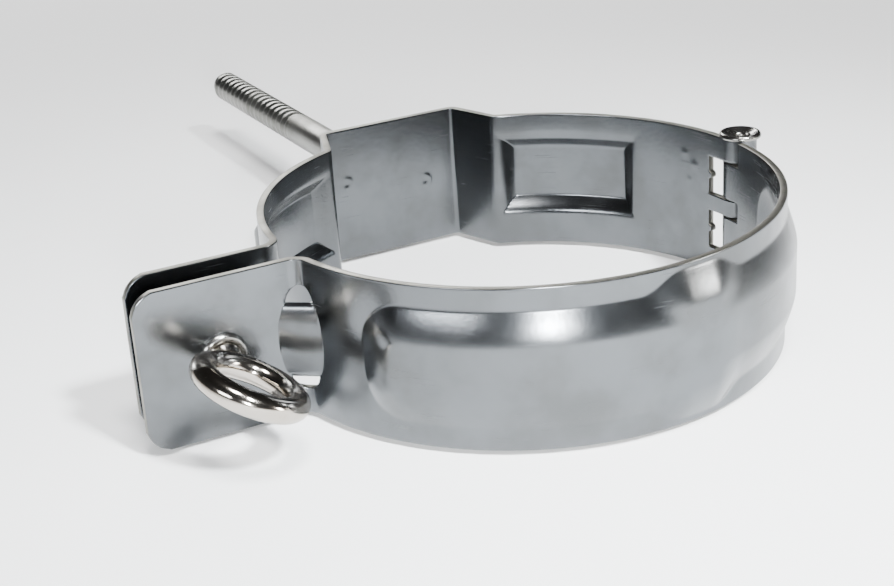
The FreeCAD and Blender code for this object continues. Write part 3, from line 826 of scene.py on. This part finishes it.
    def build(self) -> bpy.types.Object:
        """Makes the half band: the grid is cut to the outline, its cut edge is drawn onto the
        outline, and the sheet gets its thickness and softened edges.

        Returns:
            The finished piece.
        """
        path, plan = self.path(), self.plan
        marks = sorted({0.0, path.reach(), self.hinge_cut_run(path), self.corner_run(path)})
        play = plan.knuckle_play if self.side is Side.FRONT else 0.0
        upright = [plan.window_low + play, plan.gusset_half, plan.window_top - play, plan.half_height]
        rows = graded([-v for v in reversed(upright)] + upright, self.step * 0.9)
        run, z = np.meshgrid(graded(marks, self.step), rows, indexing="ij")
        faces = grid_faces(*run.shape, False, False)
        distance = self.outline(run, z, path)
        kept = distance.ravel()[faces].mean(axis=1) < 0
        edge = np.zeros(run.size, bool)
        edge[np.intersect1d(faces[kept], faces[~kept])] = True
        edge = edge.reshape(run.shape)
        run, z = self.snapped(run, z, edge, path)
        if self.side is Side.FRONT:
            faces = faces[:, ::-1]
        piece = mesh_from(self.node + "_pressing", self.place_points(run, z, path), faces[kept])
        for which in (Finish.SHEET, Finish.SHEARED):
            piece.data.materials.append(finish(which))
        wall = piece.modifiers.new("wall", "SOLIDIFY")
        wall.thickness, wall.offset = plan.sheet * MM, 0.0
        wall.use_even_offset, wall.material_offset_rim = True, 1
        soften = piece.modifiers.new("soften", "BEVEL")
        soften.width, soften.segments, soften.limit_method = self.edge_round * MM, 2, "ANGLE"
        soften.angle_limit, soften.use_clamp_overlap = math.radians(58), False
        smooth(settle(piece), 42.0)
        return dress(piece, Finish.SHEET, self.body, self.node)


@dataclass
class RearHalf(HalfBand):
    """The rear half: flat seat, two pads, and three knuckles beside two windows."""

    side: Side = Side.REAR
    node: str = "rear_half"
    body: str = "rear"
    hole: float = 4.0
    hinge_gap: float = 2.3
    crease: float = 1.55
    pad_middle: float = 47.5
    pad_sweep: float = 35.0
    pad_height: float = 18.4
    pad_depth: float = 2.4
    pad_rise: float = 1.3
    pad_shoulder: float = 3.2
    pad_foot: float = 0.14
    pad_crown: float = 1.25
    tooth_radius: float = 0.8
    mark_depth: float = 0.16
    mark_radius: float = 1.15
    mark_width: float = 0.42
    marks: Tuple[Tuple[float, float], ...] = ((-12.0, 2.6), (8.0, -0.6))
    dings: Tuple[Tuple[float, float, float], ...] = (
        (11.5, 7.4, -0.10), (14.5, 9.6, -0.08), (13.0, 3.6, -0.07))
    ding_radius: float = 0.7

    def seat_points(self) -> Tuple[Array, Array]:
        """Corner and foot of the seat's side wall in the middle layer."""
        plan = self.plan
        corner = np.array([plan.seat_half, plan.seat_face])
        turn = math.radians(plan.seat_foot)
        foot = (plan.radius + plan.sheet) * np.array([math.cos(turn), math.sin(turn)])
        along = (foot - corner) / np.linalg.norm(foot - corner)
        start = corner + np.array([along[1], -along[0]]) * plan.sheet / 2
        corner = start + along * (plan.seat_face - plan.sheet / 2 - start[1]) / along[1]
        reach = -corner @ along - math.sqrt((corner @ along) ** 2 - corner @ corner + plan.middle() ** 2)
        return corner, corner + reach * along

    def path(self) -> Path:
        """Knuckle, band, side wall, seat, side wall, band and ear."""
        corner, foot = self.seat_points()
        left = np.array([-1.0, 1.0])
        foot_turn = math.degrees(math.atan2(foot[1], foot[0]))
        band = np.vstack([self.curl(), arc((0, 0), self.plan.middle(), 0.0, foot_turn)[1:]])
        points = band
        for run in (line(foot, corner), line(corner, corner * left), line(corner * left, foot * left),
                    arc((0, 0), self.plan.middle(), 180 - foot_turn, self.root_angle())):
            points = bend(points, run, self.crease)
        return Path(bend(points, self.ear(), self.ear_bend), self.side)

    def hinge_outline(self, run: Array, z: Array, path: Path) -> Array:
        """Two windows with a small round tooth in the middle of their far edge."""
        plan, edge = self.plan, self.hinge_cut_run(path)
        window = np.maximum(run - edge, np.maximum(plan.window_low - np.abs(z), np.abs(z) - plan.window_top))
        tooth = self.tooth_radius - np.hypot(run - edge, np.abs(z) - (plan.window_low + plan.window_top) / 2)
        return -np.maximum(window, tooth)

    def relief(self, run: Array, z: Array, place: Array, path: Path) -> Array:
        """Two mitred pads, the two half-moon weld marks on the seat, and a few dings.

        A weld mark is a ring-shaped hollow, a bell curve of the distance from the mark's radius,
        that fades out towards one side, with a low bump in its middle.
        """
        plan = self.plan
        angle = np.degrees(np.arctan2(place[..., 1], place[..., 0]))
        half_u = math.radians(self.pad_sweep / 2) * plan.middle()
        height = np.zeros_like(z)
        for middle in (self.pad_middle, 180 - self.pad_middle):
            u = np.radians(angle - middle) * plan.middle()
            distance = mitred_box(u, z - self.pad_rise, half_u, self.pad_height / 2)
            height = height + pressed(distance, self.pad_shoulder, self.pad_depth, self.pad_foot,
                                      self.pad_crown)
        on_seat = place[..., 1] > plan.seat_face - 1.2
        for x, rise in self.marks:
            u, v = place[..., 0] - x, z - rise
            ring = np.exp(-((np.hypot(u, v) - self.mark_radius) / self.mark_width) ** 2)
            ring = ring * np.clip(0.55 + u / 1.6, 0, 1)
            height = height - self.mark_depth * ring * on_seat + dent(u, v, 0.8, 0.10) * on_seat
        for turn, rise, depth in self.dings:
            u = np.radians(angle - turn) * plan.middle()
            height = height + dent(u, z - rise, self.ding_radius, depth)
        return height


@dataclass
class FrontHalf(HalfBand):
    """The front half: raised belt with its widened lobe, and two knuckles."""

    side: Side = Side.FRONT
    node: str = "front_half"
    body: str = "front"
    hole: float = 3.9
    hinge_gap: float = 0.5
    belt_start: float = 207.0
    belt_end: float = 345.0
    belt_height: float = 22.2
    belt_depth: float = 2.0
    belt_shoulder: float = 6.4
    belt_corner: float = 8.0
    belt_foot: float = 0.025
    belt_crown: float = 1.3
    lobe_middle: float = 276.2
    lobe_sweep: float = 20.5
    lobe_height: float = 28.6
    lobe_corner: float = 6.5
    lobe_depth: float = 0.38
    lobe_foot: float = 0.2
    lobe_crown: float = 2.0
    blend: float = 4.0

    def path(self) -> Path:
        """Knuckle, band and ear."""
        band = np.vstack([self.curl(), arc((0, 0), self.plan.middle(), 0.0, self.root_angle())[1:]])
        return Path(bend(band, self.ear(), self.ear_bend), self.side)

    def hinge_outline(self, run: Array, z: Array, path: Path) -> Array:
        """Three notches that clear the rear half's knuckles."""
        plan = self.plan
        low_edge, high_edge = plan.window_low + plan.knuckle_play, plan.window_top - plan.knuckle_play
        heights = np.minimum(high_edge - np.abs(z), np.abs(z) - low_edge)
        return -np.maximum(run - self.hinge_cut_run(path), heights)

    def relief(self, run: Array, z: Array, place: Array, path: Path) -> Array:
        """The belt and its lobe melt into one outline with a soft crest; the lobe stands out a
        little further than the belt."""
        angle = np.degrees(np.arctan2(place[..., 1], place[..., 0])) % 360
        arm = self.plan.middle() + self.belt_depth / 2

        def patch(middle: float, sweep: float, height: float, corner: float) -> Array:
            """Signed distance to a round-cornered patch of the band, its angles in degrees."""
            return rounded_box(np.radians(angle - middle) * arm, z, math.radians(sweep / 2) * arm, height / 2,
                               corner)

        belt = patch((self.belt_start + self.belt_end) / 2, self.belt_end - self.belt_start, self.belt_height,
                     self.belt_corner)
        lobe = patch(self.lobe_middle, self.lobe_sweep, self.lobe_height, self.lobe_corner)
        outline = soft_union(belt, lobe, self.blend)
        return (pressed(outline, self.belt_shoulder, self.belt_depth, self.belt_foot, self.belt_crown)
                + pressed(lobe, self.lobe_corner, self.lobe_depth, self.lobe_foot, self.lobe_crown))


# ---- Hinge rivet, stud and plate ----

@dataclass
class Hinge:
    """The tubular rivet with its dished upper head and rolled lower head."""

    plan: Plan
    bore: float = 1.2
    head: float = 4.5
    head_height: float = 1.1
    dish: float = 0.75
    fit: float = 0.05

    def build(self) -> bpy.types.Object:
        """Turns the rivet's section round the hinge axis."""
        half, top = self.plan.half_height, self.plan.half_height + self.head_height
        shaft = self.plan.barrel - self.plan.sheet - self.fit
        section = [
            (self.bore, -top + 0.15), (self.bore + 0.5, -top), (self.head - 0.5, -top),
            (self.head, -top + 0.55), (self.head - 0.1, -half), (shaft, -half), (shaft, half),
            (self.head - 0.15, half),
            (self.head, half + 0.45), (self.head - 0.35, top), (self.head - 0.95, top),
            (self.bore + 1.1, top - self.dish), (self.bore + 0.35, top - self.dish + 0.1),
            (self.bore, top - self.dish - 0.5)]
        piece = lathe("hinge_rivet", eased(section, 0.3, steps=6), Turned.PIPE, (self.plan.hinge_x, 0.0), 72)
        return dress(smooth(piece), Finish.RIVET, "rear", "hinge_pin")


@dataclass
class WallStud:
    """The stud, its rolled thread, and the plate and boss that hold it on the seat."""

    plan: Plan
    radius: float = 4.0
    neck: float = 0.3
    pitch: float = 3.05
    depth: float = 0.42
    thread_start: float = 53.5
    point: float = 1.1
    boss_top: float = 10.0
    boss_radius: float = 7.0
    plate_half_width: float = 14.0
    plate_half_height: float = 8.0
    plate_thickness: float = 2.0
    corner_power: float = 9.0
    fit: float = 0.05

    def stud(self) -> bpy.types.Object:
        """Turns the stud and rolls a coarse thread into its outer half."""
        foot, tip = self.plan.seat_face, self.plan.stud_tip
        start = foot + self.thread_start
        r = self.radius
        corners = [(0.0, foot), (r - self.neck, foot), (r - self.neck, foot + self.boss_top),
                   (r, foot + self.boss_top + self.fit)]
        threaded = np.arange(start, tip - self.point, self.pitch / 12)
        body = np.stack([np.full_like(threaded, r), threaded], axis=1)
        end = [(r, tip - self.point), (r - 0.55, tip - 0.35), (r - 1.4, tip), (0.0, tip)]
        profile = np.vstack([np.array(corners), body, eased(end, 0.3, closed=False, steps=5)])
        piece = lathe("wall_stud", profile, Turned.BOLT, (0.0, 0.0), 72, closed=False,
                      radius=thread(start, tip, self.pitch, self.depth))
        return dress(smooth(piece, 60.0), Finish.STUD, "rear", "stud")

    def plate(self) -> bpy.types.Object:
        """The plate: at each turn its section runs from the round hole to a rounded rectangle
        whose reach is the superellipse of the half sizes; the boss and its weld stand on it."""
        foot = self.plan.seat_face
        top = foot + self.plate_thickness
        hole = self.radius + self.fit
        turn = np.linspace(0, 2 * math.pi, 145)[:-1][:, None]
        p = self.corner_power
        reach = (np.abs(np.cos(turn) / self.plate_half_width) ** p
                 + np.abs(np.sin(turn) / self.plate_half_height) ** p) ** (-1 / p)
        section = eased([(0.0, foot), (1.0, foot), (1.0, top), (0.0, top)], 0.02, steps=2)
        share, level = section[None, :, 0], section[None, :, 1]
        rounded = np.where(level > (foot + top) / 2, 0.35, 0.1) * (share > 0.99)
        r = hole + (reach - hole) * share - rounded
        level = np.broadcast_to(level, r.shape)
        points = np.stack([r * np.cos(turn), level, r * np.sin(turn)], axis=-1)
        sheet = mesh_from("plate_sheet", points, grid_faces(*r.shape, True, True))
        tip = foot + self.boss_top
        b = self.boss_radius
        boss = eased([(hole, foot + 0.1), (b + 1.6, foot + 0.1), (b + 1.6, top + 0.25),
                      (b + 0.75, top + 0.85), (b, top + 2.0), (b, tip - 0.9), (b - 0.9, tip),
                      (hole + 0.5, tip), (hole, tip - 0.5)], 0.4, steps=5)
        lumps = self.weld_lumps(top)
        turned = lathe("plate_boss", boss, Turned.BOLT, (0.0, 0.0), 144, radius=lumps)
        piece = joined("stud_plate", [sheet, turned])
        return dress(smooth(piece), Finish.PLATE, "rear", "nut_plate")

    def weld_lumps(self, top: float) -> Callable[[Array, Array, Array], Array]:
        """Ripples of the weld round the boss's foot: a cosine of the turn on the outermost ring."""
        def ripple(turn: Array, r: Array, h: Array) -> Array:
            """The radius with the ripples added."""
            on_weld = (r > self.boss_radius + 0.4) & (h > top - 0.4)
            return r + on_weld * (0.16 * np.cos(34 * turn) + 0.12 * np.cos(5 * turn + 0.7))
        return ripple

    def build(self) -> None:
        """Makes the stud and its plate."""
        self.stud()
        self.plate()


# ---- The eye bolt and what holds it ----

@dataclass
class EyeBolt:
    """The eye bolt, its collar, its clip and the weld nut that its thread enters."""

    plan: Plan
    ring: float = 8.9
    wire: float = 2.5
    roll: float = 28.0
    droop: float = 5.0
    stand: float = 0.1
    swell: float = 0.05
    swell_reach: float = 0.42
    neck: float = 3.0
    thread_radius: float = 2.95
    pitch: float = 1.0
    thread_depth: float = 0.42
    collar_flange: float = 4.6
    collar_height: float = 1.0
    collar_wall: float = 0.85
    fit: float = 0.05
    groove: float = 0.6
    clip_radius: float = 5.0
    clip_thickness: float = 0.8
    clip_sweep: float = 290.0
    nut_flats: float = 10.0
    nut_bore: float = 3.25
    nut_pilot: float = 4.0
    corner_slope: float = 0.58

    def axis(self) -> Tuple[float, float]:
        """The bolt's axis in X and Z."""
        return (self.plan.bolt_x, 0.0)

    def bolt(self) -> bpy.types.Object:
        """The forged ring and shank in one piece.

        The ring is a tube round a circle, rolled about the bolt's axis and then bent down at the
        neck; its wire swells by a bell curve of the turn where it runs into the neck. The shank is
        turned, with a rolled thread.
        """
        plan = self.plan
        neck_y, tip = low("eye_collar").y - self.stand, high("eye_bolt").y
        round_ring, round_wire = np.radians(np.arange(0, 360, 2.5)), np.radians(np.arange(0, 360, 9.0))
        u, v = np.meshgrid(round_ring, round_wire, indexing="ij")
        neckwards = (u + math.pi / 2) % (2 * math.pi) - math.pi
        bell = np.exp(-(neckwards / self.swell_reach) ** 2)
        wire = self.wire * (1 + self.swell * bell) - self.swell * self.wire
        reach = self.ring + wire * np.cos(v)
        x, y, z = reach * np.cos(u), reach * np.sin(u), wire * np.sin(v)
        roll, droop = math.radians(self.roll), math.radians(self.droop)
        x, z = x * math.cos(roll) + z * math.sin(roll), z * math.cos(roll) - x * math.sin(roll)
        y = y - self.ring - self.wire
        points = np.stack([plan.bolt_x + x, neck_y + y * math.cos(droop) - z * math.sin(droop),
                           y * math.sin(droop) + z * math.cos(droop)], axis=-1)
        ring = mesh_from("bolt_ring", points, grid_faces(*u.shape, True, True))
        groove = low("retaining_clip").y - self.fit
        root = self.neck - self.groove
        start = groove + self.clip_thickness + 2 * self.fit
        head = [(0.0, neck_y - self.wire), (1.6, neck_y - self.wire), (self.neck - 0.1, neck_y - 0.5),
                (self.neck, neck_y), (self.neck, groove), (root, groove), (root, start),
                (self.thread_radius, start)]
        threaded = np.arange(start + 0.1, tip - 0.75, self.pitch / 10)
        body = np.stack([np.full_like(threaded, self.thread_radius), threaded], axis=1)
        end = [(self.thread_radius, tip - 0.7), (self.thread_radius - 0.6, tip), (0.0, tip)]
        profile = np.vstack([np.array(head), body, np.array(end)])
        shank = lathe("bolt_shank", profile, Turned.BOLT, self.axis(), 64, closed=False,
                      radius=thread(start, tip, self.pitch, self.thread_depth))
        piece = joined("eye_bolt_forging", [ring, shank])
        return dress(smooth(piece, 50.0), Finish.CHROME, "bolt", "eye_bolt")

    def collar(self) -> bpy.types.Object:
        """The collar riveted into the front ear, with a rolled lip inside."""
        outside, inside = low("eye_collar").y, high("eye_collar").y
        bore = self.neck + self.fit
        barrel, flange = bore + self.collar_wall, self.collar_flange
        face = outside + self.collar_height
        wall_end = face + self.plan.sheet
        section = [(bore, outside + 0.3), (bore + 0.35, outside), (flange - 0.5, outside),
                   (flange, outside + 0.45), (flange, face), (barrel, face), (barrel, wall_end),
                   (barrel + 0.5, wall_end), (barrel + 0.3, inside), (bore + 0.1, inside),
                   (bore, inside - 0.25)]
        piece = lathe("bolt_collar", eased(section, 0.22, steps=5), Turned.BOLT, self.axis(), 72)
        return dress(smooth(piece), Finish.RIVET, "front", "eye_collar")

    def clip(self) -> bpy.types.Object:
        """The open spring clip in the bolt's groove."""
        start = low("retaining_clip").y
        end = start + self.clip_thickness
        inner = self.neck - self.groove + self.fit
        section = [(inner, start), (self.clip_radius, start), (self.clip_radius, end), (inner, end)]
        half = self.clip_sweep / 2
        piece = lathe("bolt_clip", eased(section, 0.12, steps=3), Turned.BOLT, self.axis(), 60,
                      sweep=(-half, half))
        return dress(smooth(piece), Finish.SPRING, "clip", "retaining_clip")

    def nut(self) -> bpy.types.Object:
        """The hexagonal weld nut: at each turn its side stands at the hexagon's reach, and its
        outer face falls away as a cone beyond the flats, which rounds off the six corners."""
        inner, outer = low("weld_nut").y, high("weld_nut").y
        face = inner + self.plan.sheet
        turn = np.radians(np.arange(0, 360, 2.5))[:, None]
        flats = self.nut_flats / 2
        side = flats / np.cos(turn % (math.pi / 3) - math.pi / 6)
        drop = (side - flats) * self.corner_slope
        bore, pilot = self.nut_bore, self.nut_pilot
        rings = [(bore, inner + 0.3), (bore + 0.3, inner), (pilot, inner), (pilot, face),
                 (side - 0.15, face), (side, face + 0.15), (side, outer - 0.12 - drop),
                 (side - 0.12, outer - drop), (flats - 0.1, outer), (bore + 0.5, outer),
                 (bore, outer - 0.5)]
        r, y = [np.hstack([np.broadcast_to(ring[i], turn.shape) for ring in rings]) for i in (0, 1)]
        points = np.stack([self.plan.bolt_x + r * np.cos(turn), y, r * np.sin(turn)], axis=-1)
        piece = mesh_from("ear_nut", points, grid_faces(*r.shape, True, True))
        return dress(smooth(piece, 30.0), Finish.PLATE, "rear", "weld_nut")

    def build(self) -> None:
        """Makes the bolt, its collar, its clip and its nut."""
        self.bolt()
        self.collar()
        self.clip()
        self.nut()


# ---- Floor, light and camera ----

@dataclass(frozen=True)
class Lamp:
    """A soft rectangular lamp: where it stands and what it points at, its size in metres, its power,
    its tint, and the angle in degrees that its beam spreads over."""

    name: str
    place: Tuple[float, float, float]
    target: Tuple[float, float, float]
    size: Tuple[float, float]
    power: float
    tint: Tuple[float, float, float] = (1.0, 1.0, 1.0)
    spread: float = 180.0


@dataclass
class Studio:
    """Pale floor, soft lamps, a grey room and the camera."""

    lamps: Tuple[Lamp, ...] = (
        Lamp("overhead", (-0.08, -0.34, 0.85), (0.0, 0.0, 0.0), (0.22, 0.20), 11.0),
        Lamp("low_key", (-0.31, -0.88, 0.23), (0.0, 0.0, 0.0), (0.11, 0.11), 14.0, (0.95, 0.98, 1.0)),
        Lamp("front_pool", (0.15, -0.75, 0.80), (0.01, -0.105, -0.0166), (0.12, 0.12),
             1.2, (0.94, 0.98, 1.0), 26.0),
        Lamp("wide_fill", (-0.95, -0.50, 0.42), (0.0, 0.0, 0.0), (0.45, 0.22), 8.0, (0.94, 0.97, 1.0)),
        Lamp("right_window", (0.82, -0.76, 0.16), (0.0, 0.0, 0.0), (0.16, 0.24), 7.0, (1.0, 0.98, 0.94)),
        Lamp("back_light", (0.15, 0.95, 0.50), (0.0, 0.0, 0.0), (0.7, 0.25), 9.0),
    )

    def floor(self) -> None:
        """A wide pale floor that the clamp lies on."""
        edge = np.linspace(-4.0, 4.0, 9)
        x, y = np.meshgrid(edge, edge, indexing="ij")
        points = np.stack([x, y, np.full_like(x, CAD_BOX[0].z)], axis=-1) / MM
        piece = mesh_from("floor", points, grid_faces(*x.shape, False, False))
        made = bpy.data.materials.new("pale_floor")
        wiring = Wiring.fresh(made)
        place = wiring.add("ShaderNodeTexCoord").outputs["Object"]
        cloud = wiring.add("ShaderNodeTexNoise", Vector=place, Scale=3.0, Detail=2.0)
        tone = wiring.span(cloud.outputs[0], 0.3, 0.7, 0.90, 0.92)
        colour = wiring.add("ShaderNodeCombineColor", Red=tone, Green=tone, Blue=tone)
        shader = wiring.add("ShaderNodeBsdfPrincipled", Base_Color=colour.outputs[0], Roughness=0.9)
        wiring.add("ShaderNodeOutputMaterial", Surface=shader.outputs[0])
        piece.data.materials.append(made)

    def room(self) -> None:
        """The room's grey light: pale near the horizon, darker overhead."""
        world = bpy.data.worlds.new("room")
        bpy.context.scene.world = world
        wiring = Wiring.fresh(world)
        way = wiring.add("ShaderNodeTexCoord").outputs["Generated"]
        height = wiring.add("ShaderNodeSeparateXYZ", Vector=way).outputs[2]
        ramp = wiring.add("ShaderNodeValToRGB", Fac=height)
        stops = ramp.color_ramp.elements
        stops[0].position, stops[0].color = 0.0, (0.85, 0.86, 0.87, 1)
        stops[1].position, stops[1].color = 0.13, (0.045, 0.046, 0.048, 1)
        top = stops.new(0.8)
        top.color = (0.02, 0.02, 0.02, 1)
        shade = wiring.add("ShaderNodeBackground", Color=ramp.outputs[0], Strength=1.0)
        wiring.add("ShaderNodeOutputWorld", Surface=shade.outputs[0])

    def light(self) -> None:
        """Makes the lamps."""
        for lamp in self.lamps:
            data = bpy.data.lights.new(lamp.name, "AREA")
            data.shape, data.size, data.size_y = "RECTANGLE", *lamp.size
            data.energy, data.color, data.spread = lamp.power, lamp.tint, math.radians(lamp.spread)
            holder = linked(lamp.name, data)
            holder.location = lamp.place
            aim = Vector(lamp.target) - Vector(lamp.place)
            holder.rotation_euler = aim.to_track_quat("-Z", "Y").to_euler()

    def camera(self) -> None:
        """A camera in front of the ears, left of the clamp and above it."""
        data = bpy.data.cameras.new("camera")
        data.lens, data.sensor_width = 65.16, 36.0
        holder = linked("camera", data)
        right, up = Vector((0.8820, -0.4674, -0.0594)), Vector((0.2286, 0.3143, 0.9214))
        back = -Vector((0.4120, 0.8263, -0.3841))
        turned = Matrix((right, up, back)).transposed().to_4x4()
        turned.translation = Vector((-0.1501, -0.2658, 0.1207))
        holder.matrix_world = turned
        bpy.context.scene.camera = holder

    def build(self) -> None:
        """Makes the floor, the room, the lamps and the camera."""
        self.floor()
        self.room()
        self.light()
        self.camera()


def main() -> None:
    """Builds the clamp piece by piece, then the studio."""
    logging.basicConfig(level=logging.INFO, format="%(message)s")
    plan = Plan.measure()
    Studio().build()
    for part in (RearHalf(plan), FrontHalf(plan), Hinge(plan), WallStud(plan), EyeBolt(plan)):
        part.build()


if __name__ == "__main__":
    main()
